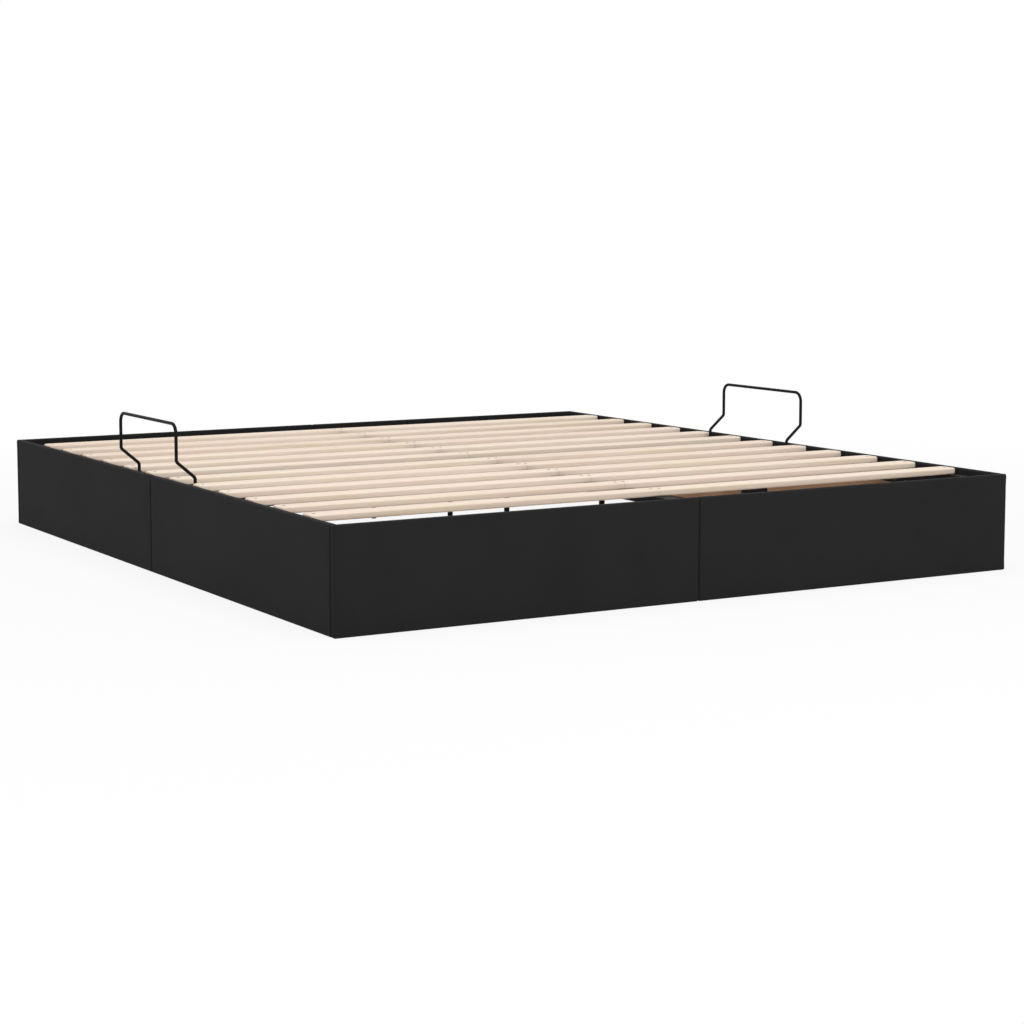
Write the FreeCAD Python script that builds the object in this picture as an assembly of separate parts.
"""Ottoman bed: a low upholstered box with a slatted steel frame that lifts on a hinge at the head end.

Millimetres. X runs across the bed, Y from the foot (-Y) to the head (+Y), Z up from the floor.
The origin is on the floor under the middle of the bed.
"""
import FreeCAD, Part
import math
import os

# Box panels
bed_width = 1830.0
bed_length = 2030.0
panel_height = 236.0
core_thickness = 15.0
cover_thickness = 1.0
core_edge_radius = 2.0
seam_gap = 0.6
wrap_top = 60.0
wrap_bottom = 30.0
wrap_end = 60.0

# Corner angles and joint plates inside the box
fitting_thickness = 2.5
corner_arm = 40.0
corner_height = 120.0
corner_floor_gap = 50.0
joint_plate_length = 116.0
joint_plate_height = 100.0
joint_plate_floor_gap = 60.0
fitting_edge = 15.0

# Pan head screws that hold every fitting to the panels
panel_screw_diameter = 5.0
panel_screw_bite = 11.0
panel_screw_head_diameter = 10.0
panel_screw_head_height = 2.6
panel_screw_head_radius = 1.2
screw_hole_clearance = 0.2

# Slats
slat_rows = 12
slat_width = 53.0
slat_thickness = 15.0
slat_proud = 2.0
slat_end_margin = 138.8
slat_middle_gap = 0.6
slat_side_gap = 6.5
slat_edge_radius = 4.0
slat_corner_radius = 13.0

# Countersunk screws that hold the slats
slat_screw_diameter = 4.0
slat_screw_head_diameter = 9.0
slat_screw_head_height = 3.0
slat_screw_length = 24.0
slat_screw_sink = 0.1
slat_screw_inset = 11.0

# Steel tube frame under the slats
tube_wall = 1.5
tube_height = 20.0
side_rail_width = 25.0
side_rail_gap = 12.5
centre_rail_width = 40.0
crossbar_width = 25.0
frame_end_gap = 18.0
frame_middle_gap = 0.4
cap_thickness = 2.0
cap_depth = 12.0
cap_clearance = 0.1

# Bolts that join the two half frames in the middle, and every M8 nut
bolt_diameter = 8.0
bolt_hole_clearance = 0.2
bolt_head_height = 5.3
nut_height = 6.5
nut_across_flats = 13.0
thread_clearance = 0.05
middle_bolt_centre_gap = 280.0
middle_bolt_side_gap = 160.0

# Slim support legs under the centre rail, in the gaps between the slats
leg_diameter = 14.0
leg_wall = 1.5
leg_top_plug = 10.0
leg_stud_length = 12.0
leg_foot_height = 3.0
leg_foot_stem = 12.0
leg_pitches = (1, 4)

# Wire mattress retainers on the long sides
wire_diameter = 8.0
retainer_above_slats = 144.0
retainer_kink_above_slats = 10.5
retainer_kink_rise = 40.0
retainer_kink_out = 47.0
retainer_kink_radius = 10.0
retainer_corner_radius = 24.0
retainer_slat_gap = 15.5
retainer_tail = 15.0

# Angle rests under the side rails: one by the foot, and a pair about the middle of the bed
rest_length = 40.0
rest_drop = 45.0
rest_thickness = 3.0
rest_gap = 0.3
rest_reach_under_rail = 24.0
rest_foot_gap = 98.0
rest_pitch = 600.0
rest_screw_spacing = 20.0
rest_screw_height = 14.0

# Hinge at the head end
hinge_setback = 148.0
hinge_drop = 13.0
hinge_plate_thickness = 3.0
hinge_plate_radius = 22.0
hinge_arm_thickness = 3.0
hinge_arm_radius = 18.0
hinge_bolt_diameter = 10.0
hinge_bolt_head_diameter = 18.0
hinge_bolt_head_height = 4.0
hinge_boss_diameter = 18.0
hinge_running_clearance = 0.05
hinge_side_gap = 0.3
hinge_screw_places = (0.3, 0.44, 0.58, 0.72)

# Gas springs: a cylinder pinned low on the hinge plate and a rod pinned to the hinge arm
spring_base_back = 57.0
spring_base_height = 27.0
spring_top_back = 273.0
spring_top_down = 16.0
spring_eye_thickness = 12.0
spring_eye_to_arm = 5.0
cylinder_diameter = 18.0
cylinder_wall = 2.0
cylinder_eye_diameter = 22.0
cylinder_neck = 3.0
cylinder_base_length = 10.0
cylinder_guide_length = 14.0
rod_diameter = 8.0
rod_showing = 14.0
rod_running_clearance = 0.05
piston_clearance = 0.3
piston_length = 10.0
piston_base_gap = 6.0
base_pin_diameter = 8.0
base_pin_head_diameter = 14.0
base_boss_diameter = 14.0
top_pin_diameter = 10.0
top_pin_head_diameter = 28.0
rod_eye_diameter = 30.0
open_pivot_clearance = 4.7
pin_head_height = 2.5
pin_side_gap = 0.5

# Places that follow from the sizes above
panel_thickness = core_thickness + 2 * cover_thickness
inner_x = bed_width / 2 - panel_thickness
inner_y = bed_length / 2 - panel_thickness
slat_top = panel_height + slat_proud
frame_top = slat_top - slat_thickness
frame_bottom = frame_top - tube_height
frame_end = inner_y - frame_end_gap
rail_outer_x = inner_x - side_rail_gap
rail_x = rail_outer_x - side_rail_width / 2
slat_end_x = inner_x - slat_side_gap
slat_pitch = (2 * (inner_y - slat_end_margin) - slat_width) / (slat_rows - 1)
rail_start = frame_middle_gap / 2 + crossbar_width
rail_finish = frame_end - crossbar_width
hinge_y = inner_y - hinge_setback
hinge_z = frame_bottom - hinge_drop
spring_base_y = hinge_y - spring_base_back
spring_top_y = hinge_y - spring_top_back
spring_top_z = hinge_z - spring_top_down
hinge_plate_x = inner_x - hinge_plate_thickness
arm_outer_x = rail_outer_x + hinge_arm_thickness
eye_outer_x = rail_outer_x - spring_eye_to_arm - pin_side_gap
eye_inner_x = eye_outer_x - spring_eye_thickness

os.makedirs("parts", exist_ok=True)
V = FreeCAD.Vector
up = V(0, 0, 1)
across = V(1, 0, 0)
lengthwise = V(0, 1, 0)


def save(name, *solids):
    """Write one sub-part: one solid, or a group of separate solids."""
    shape = solids[0] if len(solids) == 1 else Part.makeCompound(list(solids))
    shape.exportStep("parts/" + name + ".step")


def box(low, high):
    """A box between two corners, given in any order."""
    corner = V(*(min(a, b) for a, b in zip(low, high)))
    size = [abs(b - a) for a, b in zip(low, high)]
    return Part.makeBox(*size, corner)


def rod_between(start, end, diameter):
    """A round bar from one point to another."""
    return Part.makeCylinder(diameter / 2, (end - start).Length, start, end - start)


def hexagon(start, direction, across_flats, height):
    """A hexagon bar that stands on a point along a direction."""
    radius = across_flats / math.sqrt(3)
    angles = [k * math.pi / 3 for k in range(7)]
    corners = [V(radius * math.cos(angle), radius * math.sin(angle), 0) for angle in angles]
    prism = Part.Face(Part.makePolygon(corners)).extrude(V(0, 0, height))
    prism.Placement = FreeCAD.Placement(start, FreeCAD.Rotation(up, direction))
    return prism


def nut(start, direction, diameter):
    """A plain hexagon nut on a shaft of the given diameter."""
    body = hexagon(start, direction, nut_across_flats, nut_height)
    return body.cut(rod_between(start, start + direction * nut_height, diameter + 2 * thread_clearance))


def cut_near(shape, tools):
    """Cut the tools that reach the shape and leave the others."""
    near = [tool for tool in tools if shape.BoundBox.intersect(tool.BoundBox)]
    if not near:
        return shape
    return shape.cut(near).Solids[0]


def mirrored(shape):
    """The same piece on the other long side."""
    return shape.mirror(V(0, 0, 0), across)


# Upholstered panels: two halves on each side, foot and head boards lap the ends of the side boards
def panel_blanks(low, high, inward):
    """Core and cover of one half panel. The cover is stapled round onto the inner face."""
    skin = V(cover_thickness, cover_thickness, cover_thickness)
    outer = box(low, high)
    outer = outer.makeFillet(core_edge_radius + cover_thickness, outer.Edges)
    core = box(V(*low) + skin, V(*high) - skin)
    core = core.makeFillet(core_edge_radius, core.Edges)
    end = V(abs(inward.y), abs(inward.x), 0) * wrap_end
    window_low = V(*low) + end + V(0, 0, wrap_bottom)
    window_high = V(*high) - end - V(0, 0, wrap_top)
    shift = inward * (panel_thickness - cover_thickness)
    window = box(window_low + shift, window_high + shift)
    return core, outer.cut(core).cut(window).Solids[0]


half_gap = seam_gap / 2
panel_spans = {
    "foot_left": ((-bed_width / 2, -bed_length / 2, 0), (-half_gap, -inner_y, panel_height), lengthwise),
    "foot_right": ((half_gap, -bed_length / 2, 0), (bed_width / 2, -inner_y, panel_height), lengthwise),
    "head_left": ((-bed_width / 2, inner_y, 0), (-half_gap, bed_length / 2, panel_height), -lengthwise),
    "head_right": ((half_gap, inner_y, 0), (bed_width / 2, bed_length / 2, panel_height), -lengthwise),
    "left_foot": ((-bed_width / 2, -inner_y, 0), (-inner_x, -half_gap, panel_height), across),
    "left_head": ((-bed_width / 2, half_gap, 0), (-inner_x, inner_y, panel_height), across),
    "right_foot": ((inner_x, -inner_y, 0), (bed_width / 2, -half_gap, panel_height), -across),
    "right_head": ((inner_x, half_gap, 0), (bed_width / 2, inner_y, panel_height), -across),
}
panels = {name: panel_blanks(*span) for name, span in panel_spans.items()}

# Every panel screw is kept here with its hole, and the holes are cut when all are known
panel_screws = []
panel_screw_holes = []


def panel_screw(seat, into, thickness):
    """A pan head screw on the face of a fitting of some thickness, and the hole it passes through."""
    head = Part.makeCylinder(panel_screw_head_diameter / 2, panel_screw_head_height, seat, -into)
    rounds = [edge for edge in head.Edges if edge.Closed]
    rim = [edge for edge in rounds if (seat - edge.CenterOfMass).dot(into) > panel_screw_head_height / 2]
    head = head.makeFillet(panel_screw_head_radius, rim)
    tip = seat + into * (thickness + cover_thickness + panel_screw_bite)
    panel_screws.append(head.fuse(rod_between(seat, tip, panel_screw_diameter)).removeSplitter())
    panel_screw_holes.append(rod_between(seat, tip, panel_screw_diameter + 2 * screw_hole_clearance))


# Steel angles in the four corners
corner_brackets = []
corner_low = corner_floor_gap
corner_high = corner_floor_gap + corner_height
for side in (-1, 1):
    for end in (-1, 1):
        x_face = side * inner_x
        y_face = end * inner_y
        x_seat = x_face - side * fitting_thickness
        y_seat = y_face - end * fitting_thickness
        along_side = box((x_face, y_face, corner_low), (x_seat, y_face - end * corner_arm, corner_high))
        along_end = box((x_face, y_face, corner_low), (x_face - side * corner_arm, y_seat, corner_high))
        corner_brackets.append(along_side.fuse(along_end).removeSplitter())
        x_screw = x_face - side * (corner_arm - fitting_edge)
        y_screw = y_face - end * (corner_arm - fitting_edge)
        for z in (corner_low + fitting_edge, corner_high - fitting_edge):
            panel_screw(V(x_seat, y_screw, z), V(side, 0, 0), fitting_thickness)
            panel_screw(V(x_screw, y_seat, z), V(0, end, 0), fitting_thickness)

# Flat plates across the middle seams
joint_plates = []
plate_low = joint_plate_floor_gap
plate_high = joint_plate_floor_gap + joint_plate_height
for into, face in ((-across, inner_x), (across, inner_x), (-lengthwise, inner_y), (lengthwise, inner_y)):
    run = V(into.y, into.x, 0) * (joint_plate_length / 2)
    centre = into * face
    joint_plates.append(box(centre - run + V(0, 0, plate_low),
                            centre + run - into * fitting_thickness + V(0, 0, plate_high)))
    for reach in (-1, 1):
        for z in (plate_low + fitting_edge, plate_high - fitting_edge):
            place = run * reach * (1 - 2 * fitting_edge / joint_plate_length)
            panel_screw(centre + place - into * fitting_thickness + V(0, 0, z), into, fitting_thickness)

# Angle rests that carry the side rails when the bed is closed
frame_rests = []
rest_top = frame_bottom - rest_gap
for side in (-1, 1):
    face = side * inner_x
    seat = face - side * rest_thickness
    tip = side * (rail_outer_x - rest_reach_under_rail)
    for y in (rest_foot_gap - inner_y, -rest_pitch / 2, rest_pitch / 2):
        near = y - rest_length / 2
        far = y + rest_length / 2
        flange = box((face, near, rest_top - rest_drop), (seat, far, rest_top))
        tongue = box((face, near, rest_top - rest_thickness), (tip, far, rest_top))
        frame_rests.append(flange.fuse(tongue).removeSplitter())
        for shift in (-rest_screw_spacing / 2, rest_screw_spacing / 2):
            place = V(seat, y + shift, rest_top - rest_drop + rest_screw_height)
            panel_screw(place, V(side, 0, 0), rest_thickness)

# Hinge plates on the side boards, with bosses for the hinge bolt and the lower spring pin
hinge_point = V(0, hinge_y, hinge_z)
spring_base = V(0, spring_base_y, spring_base_height)
spring_top = V(0, spring_top_y, spring_top_z)
plate_inside = across * hinge_plate_x
plate_outside = across * inner_x
lean = hinge_point - spring_base
flank = V(0, lean.z, -lean.y).normalize() * hinge_plate_radius
strap_corners = [spring_base + flank, hinge_point + flank, hinge_point - flank, spring_base - flank]
strap_outline = [point + plate_inside for point in strap_corners + strap_corners[:1]]
strap = Part.Face(Part.makePolygon(strap_outline))
hinge_plate = strap.extrude(across * hinge_plate_thickness)
for place in (hinge_point, spring_base):
    round_end = rod_between(place + plate_inside, place + plate_outside, 2 * hinge_plate_radius)
    hinge_plate = hinge_plate.fuse(round_end)
hinge_boss_tip = across * (arm_outer_x + hinge_side_gap)
hinge_plate = hinge_plate.fuse(rod_between(hinge_point + hinge_boss_tip, hinge_point + plate_outside,
                                           hinge_boss_diameter))
base_boss_tip = across * (eye_outer_x + pin_side_gap)
hinge_plate = hinge_plate.fuse(rod_between(spring_base + base_boss_tip, spring_base + plate_outside,
                                           base_boss_diameter))
bolt_start = hinge_point + across * (rail_outer_x - hinge_side_gap)
bolt_end = hinge_point + plate_outside
pin_start = spring_base + across * (eye_inner_x - pin_side_gap)
pin_end = spring_base + plate_outside
hinge_plate = hinge_plate.cut(rod_between(bolt_start, bolt_end, hinge_bolt_diameter + 2 * thread_clearance))
hinge_plate = hinge_plate.cut(rod_between(pin_start, pin_end, base_pin_diameter + 2 * thread_clearance))
hinge_plate = hinge_plate.removeSplitter()
for share in hinge_screw_places:
    seat = spring_base + lean * share + plate_inside
    panel_screw(seat, across, hinge_plate_thickness)
    panel_screw(V(-seat.x, seat.y, seat.z), -across, hinge_plate_thickness)
hinge_plate = cut_near(hinge_plate, panel_screw_holes)

# Hinge bolt: head inside the arm, shank through the arm into the plate
bolt_head_start = bolt_start - across * hinge_bolt_head_height
hinge_bolt = rod_between(bolt_head_start, bolt_start, hinge_bolt_head_diameter)
hinge_bolt = hinge_bolt.fuse(rod_between(bolt_start, bolt_end, hinge_bolt_diameter)).removeSplitter()

# Lower spring pin: head inside the cylinder's eye, shank into the plate
base_pin = rod_between(pin_start - across * pin_head_height, pin_start, base_pin_head_diameter)
base_pin = base_pin.fuse(rod_between(pin_start, pin_end, base_pin_diameter)).removeSplitter()

for name, (core, cover) in panels.items():
    save(name + "_board", cut_near(core, panel_screw_holes))
    save(name + "_cover", cut_near(cover, panel_screw_holes))
save("corner_brackets", *[cut_near(shape, panel_screw_holes) for shape in corner_brackets])
save("joint_plates", *[cut_near(shape, panel_screw_holes) for shape in joint_plates])
save("frame_rests", *[cut_near(shape, panel_screw_holes) for shape in frame_rests])
save("panel_screws", *panel_screws)
save("right_hinge_plate", hinge_plate)
save("left_hinge_plate", mirrored(hinge_plate))
save("hinge_bolts", hinge_bolt, mirrored(hinge_bolt))
save("lower_spring_pins", base_pin, mirrored(base_pin))

# Slats: two half slats in each row, butted over the centre rail
slat_screws = []
slat_holes = []


def slat_screw(x, y):
    """A countersunk screw through a slat into a rail, and the hole it sits in."""
    top = slat_top - slat_screw_sink
    neck = top - slat_screw_head_height
    tip = top - slat_screw_length

    def outline(clearance):
        shank_radius = slat_screw_diameter / 2 + clearance
        head_radius = slat_screw_head_diameter / 2 + clearance
        shank = Part.makeCylinder(shank_radius, neck - tip, V(x, y, tip))
        cone = Part.makeCone(shank_radius, head_radius, slat_screw_head_height, V(x, y, neck))
        return shank.fuse(cone), head_radius

    screw, _ = outline(0)
    slat_screws.append(screw.removeSplitter())
    hole, mouth_radius = outline(screw_hole_clearance)
    mouth = Part.makeCylinder(mouth_radius, slat_screw_sink, V(x, y, top))
    slat_holes.append(hole.fuse(mouth).removeSplitter())


def half_slat(side, y):
    """One straight half slat: square at the joint, rounded at its outer end, with eased long edges."""
    inner = side * slat_middle_gap / 2
    outer = side * slat_end_x
    blank = box((inner, y - slat_width / 2, frame_top), (outer, y + slat_width / 2, slat_top))
    upright = [edge for edge in blank.Edges if edge.BoundBox.ZLength > slat_thickness / 2]
    outer_corners = [edge for edge in upright if abs(edge.CenterOfMass.x - outer) < slat_corner_radius / 2]
    blank = blank.makeFillet(slat_corner_radius, outer_corners)
    level = [edge for edge in blank.Edges if edge.BoundBox.ZLength < slat_thickness / 2]
    rims = [edge for edge in level if abs(edge.CenterOfMass.x - inner) > slat_edge_radius / 2]
    return blank.makeFillet(slat_edge_radius, rims)


slat_pairs = []
for row in range(slat_rows):
    y = (row - (slat_rows - 1) / 2) * slat_pitch
    slat_pairs.append([half_slat(side, y) for side in (-1, 1)])
    for side in (-1, 1):
        slat_screw(side * (slat_middle_gap / 2 + slat_screw_inset), y)
        slat_screw(side * rail_x, y)
for row, pair in enumerate(slat_pairs):
    save("slat_row_%02d" % (row + 1), *[cut_near(slat, slat_holes) for slat in pair])
save("slat_screws", *slat_screws)


# Steel tube frame in two halves
def tube(low, high):
    """A square-cornered box tube, open at the ends of its longest side."""
    size = [abs(b - a) for a, b in zip(low, high)]
    wall = [0 if length == max(size) else tube_wall for length in size]
    inside_low = [min(a, b) + w for a, b, w in zip(low, high, wall)]
    inside_high = [max(a, b) - w for a, b, w in zip(low, high, wall)]
    return box(low, high).cut(box(inside_low, inside_high))


# Holes for the legs, the retainers and the middle bolts are collected first
leg_places = [end * count * slat_pitch for count in leg_pitches for end in (-1, 1)]
bolt_hole = bolt_diameter + 2 * bolt_hole_clearance
leg_holes = [rod_between(V(0, y, frame_bottom), V(0, y, frame_bottom + leg_stud_length), bolt_hole)
             for y in leg_places]
retainer_half_span = 1.5 * slat_pitch - slat_width / 2 - retainer_slat_gap - wire_diameter / 2
retainer_feet = [V(side * rail_x, end * retainer_half_span, 0) for side in (-1, 1) for end in (-1, 1)]
retainer_hole = wire_diameter + 2 * bolt_hole_clearance
retainer_holes = [rod_between(foot + up * frame_bottom, foot + up * frame_top, retainer_hole)
                  for foot in retainer_feet]
bolt_z = frame_bottom + tube_height / 2
middle_bolts = []
middle_holes = []
middle_bolt_places = (centre_rail_width / 2 + middle_bolt_centre_gap,
                      rail_outer_x - side_rail_width - middle_bolt_side_gap)
for distance in middle_bolt_places:
    for side in (-1, 1):
        near = V(side * distance, -rail_start, bolt_z)
        far = V(side * distance, rail_start, bolt_z)
        head = hexagon(near, -lengthwise, nut_across_flats, bolt_head_height)
        middle_bolts.append(head.fuse(rod_between(near, far + lengthwise * nut_height, bolt_diameter)))
        middle_bolts.append(nut(far, lengthwise, bolt_diameter))
        middle_holes.append(rod_between(near, far, bolt_hole))

frame_holes = slat_holes + leg_holes + retainer_holes
for half, sign in (("foot", -1), ("head", 1)):
    start = sign * rail_start
    finish = sign * rail_finish
    for side_name, side in (("left", -1), ("right", 1)):
        rail = tube((side * rail_outer_x, start, frame_bottom),
                    (side * (rail_outer_x - side_rail_width), finish, frame_top))
        save("%s_rail_%s" % (side_name, half), cut_near(rail, frame_holes))
    beam = tube((-centre_rail_width / 2, start, frame_bottom), (centre_rail_width / 2, finish, frame_top))
    save("centre_rail_" + half, cut_near(beam, frame_holes))
    end_bar = tube((-rail_outer_x, finish, frame_bottom), (rail_outer_x, sign * frame_end, frame_top))
    save(half + "_crossbar", end_bar)
middle_crossbars = [tube((-rail_outer_x, sign * frame_middle_gap / 2, frame_bottom),
                         (rail_outer_x, sign * rail_start, frame_top)) for sign in (-1, 1)]
save("middle_crossbars", *[cut_near(bar, middle_holes) for bar in middle_crossbars])
save("frame_bolts", *middle_bolts)

# Plastic caps in the open ends of the crossbars
crossbar_caps = []
crossbar_middles = (-frame_end + crossbar_width / 2, -(rail_start + frame_middle_gap / 2) / 2,
                    (rail_start + frame_middle_gap / 2) / 2, frame_end - crossbar_width / 2)
for side in (-1, 1):
    for y in crossbar_middles:
        half_y = crossbar_width / 2
        half_plug = half_y - tube_wall - cap_clearance
        plug_low = frame_bottom + tube_wall + cap_clearance
        plug_high = frame_top - tube_wall - cap_clearance
        face = box((side * rail_outer_x, y - half_y, frame_bottom),
                   (side * (rail_outer_x + cap_thickness), y + half_y, frame_top))
        plug = box((side * rail_outer_x, y - half_plug, plug_low),
                   (side * (rail_outer_x - cap_depth), y + half_plug, plug_high))
        crossbar_caps.append(face.fuse(plug).removeSplitter())
save("crossbar_caps", *crossbar_caps)

# Support legs: a slim tube with a threaded stud at the top and a plastic foot at the bottom
support_legs = []
leg_feet = []
for y in leg_places:
    foot_top = V(0, y, leg_foot_height)
    leg_top = V(0, y, frame_bottom)
    bore = leg_diameter - 2 * leg_wall
    leg = rod_between(foot_top, leg_top, leg_diameter)
    leg = leg.cut(rod_between(foot_top, leg_top - up * leg_top_plug, bore))
    leg = leg.fuse(rod_between(leg_top, leg_top + up * leg_stud_length, bolt_diameter)).removeSplitter()
    support_legs.append(leg)
    foot = rod_between(V(0, y, 0), foot_top, leg_diameter)
    stem = rod_between(foot_top, foot_top + up * leg_foot_stem, bore - 2 * cap_clearance)
    leg_feet.append(foot.fuse(stem).removeSplitter())
save("support_legs", *support_legs)
save("leg_feet", *leg_feet)


# Mattress retainers: one bent wire on each long side, nutted to the side rails
def bent_path(points, radii):
    """Straight runs through the points, with an arc of the given radius at each inner point."""
    edges = []
    start = points[0]
    for before, corner, after, radius in zip(points, points[1:], points[2:], radii):
        back = (before - corner).normalize()
        ahead = (after - corner).normalize()
        half_turn = (math.pi - back.getAngle(ahead)) / 2
        reach = radius * math.tan(half_turn)
        arc_start = corner + back * reach
        arc_end = corner + ahead * reach
        bisector = (back + ahead).normalize()
        arc_middle = corner + bisector * (radius / math.cos(half_turn) - radius)
        edges.append(Part.LineSegment(start, arc_start).toShape())
        edges.append(Part.Arc(arc_start, arc_middle, arc_end).toShape())
        start = arc_end
    edges.append(Part.LineSegment(start, points[-1]).toShape())
    return Part.Wire(edges)


tail_z = frame_bottom - retainer_tail
wire_top = slat_top + retainer_above_slats - wire_diameter / 2
kink_bottom = slat_top + retainer_kink_above_slats
kink_x = rail_x + retainer_kink_out
kink_top = kink_bottom + retainer_kink_rise
profile_points = [(rail_x, tail_z), (rail_x, kink_bottom), (kink_x, kink_top), (kink_x, wire_top)]
wire_points = [V(x, -retainer_half_span, z) for x, z in profile_points]
wire_points += [V(x, retainer_half_span, z) for x, z in reversed(profile_points)]
kinks = [retainer_kink_radius] * 2
wire_path = bent_path(wire_points, kinks + [retainer_corner_radius] * 2 + kinks)
section = Part.Wire(Part.makeCircle(wire_diameter / 2, wire_points[0], up))
retainer = wire_path.makePipeShell([section], True, False)
save("right_mattress_retainer", retainer)
save("left_mattress_retainer", mirrored(retainer))
retainer_nuts = []
for foot in retainer_feet:
    retainer_nuts.append(nut(foot + up * frame_bottom, -up, wire_diameter))
    retainer_nuts.append(nut(foot + up * frame_top, up, wire_diameter))
save("retainer_nuts", *retainer_nuts)

# Hinge arms on the side rails, with a lug for the hinge bolt and a lug for the upper spring pin
arm_inside = across * rail_outer_x
arm_outside = across * arm_outer_x
hinge_arm = box((rail_outer_x, spring_top_y - hinge_arm_radius, frame_bottom),
                (arm_outer_x, hinge_y + hinge_arm_radius, frame_top))
for place in (hinge_point, spring_top):
    lug = box((rail_outer_x, place.y - hinge_arm_radius, place.z),
              (arm_outer_x, place.y + hinge_arm_radius, frame_top))
    round_end = rod_between(place + arm_inside, place + arm_outside, 2 * hinge_arm_radius)
    hinge_arm = hinge_arm.fuse([lug, round_end])
top_boss_tip = across * (eye_outer_x + pin_side_gap)
top_boss = rod_between(spring_top + top_boss_tip, spring_top + arm_outside, top_pin_head_diameter)
hinge_arm = hinge_arm.fuse(top_boss)
top_pin_start = spring_top + across * (eye_inner_x - pin_side_gap)
top_pin_end = spring_top + arm_outside
hinge_arm = hinge_arm.cut(rod_between(hinge_point + arm_inside, hinge_point + arm_outside,
                                      hinge_bolt_diameter + 2 * hinge_running_clearance))
hinge_arm = hinge_arm.cut(rod_between(top_pin_start, top_pin_end, top_pin_diameter + 2 * thread_clearance))
hinge_arm = hinge_arm.removeSplitter()
top_pin = rod_between(top_pin_start - across * pin_head_height, top_pin_start, top_pin_head_diameter)
top_pin = top_pin.fuse(rod_between(top_pin_start, top_pin_end, top_pin_diameter)).removeSplitter()
save("right_hinge_arm", hinge_arm)
save("left_hinge_arm", mirrored(hinge_arm))
save("upper_spring_pins", top_pin, mirrored(top_pin))

# Gas springs, drawn along the line between their two pins
spring_x = across * ((eye_inner_x + eye_outer_x) / 2)
line = (spring_top - spring_base).normalize()
spring_length = (spring_top - spring_base).Length
cylinder_end = spring_length - rod_eye_diameter / 2 - rod_showing
bore = cylinder_diameter - 2 * cylinder_wall


def on_line(distance):
    """A point on the gas spring's axis, measured from its lower pin."""
    return spring_base + spring_x + line * distance


def eye(place, diameter):
    """A flat round eye across the gas spring."""
    return rod_between(place + across * eye_inner_x, place + across * eye_outer_x, diameter)


# Cylinder: eye, neck and a hollow body closed by a guide that the rod runs in
body_start = cylinder_eye_diameter / 2 + cylinder_neck
hollow_start = body_start + cylinder_base_length
hollow_end = cylinder_end - cylinder_guide_length
cylinder = rod_between(on_line(body_start), on_line(cylinder_end), cylinder_diameter)
cylinder = cylinder.fuse([eye(spring_base, cylinder_eye_diameter),
                          rod_between(on_line(0), on_line(body_start), spring_eye_thickness)])
cylinder = cylinder.cut(rod_between(on_line(hollow_start), on_line(hollow_end), bore))
cylinder = cylinder.cut(rod_between(on_line(hollow_start), on_line(cylinder_end),
                                    rod_diameter + 2 * rod_running_clearance))
cylinder = cylinder.cut(eye(spring_base, base_pin_diameter + 2 * hinge_running_clearance)).removeSplitter()

# Rod: piston at the bottom, eye at the top, with a wide bore because this pivot is left open
piston_start = hollow_start + piston_base_gap
eye_bore = top_pin_diameter + 2 * open_pivot_clearance
piston_end = piston_start + piston_length
rod = rod_between(on_line(piston_start), on_line(spring_length), rod_diameter)
rod = rod.fuse([rod_between(on_line(piston_start), on_line(piston_end), bore - 2 * piston_clearance),
                eye(spring_top, rod_eye_diameter)])
rod = rod.cut(eye(spring_top, eye_bore)).removeSplitter()
save("right_gas_cylinder", cylinder)
save("left_gas_cylinder", mirrored(cylinder))
save("right_gas_rod", rod)
save("left_gas_rod", mirrored(rod))
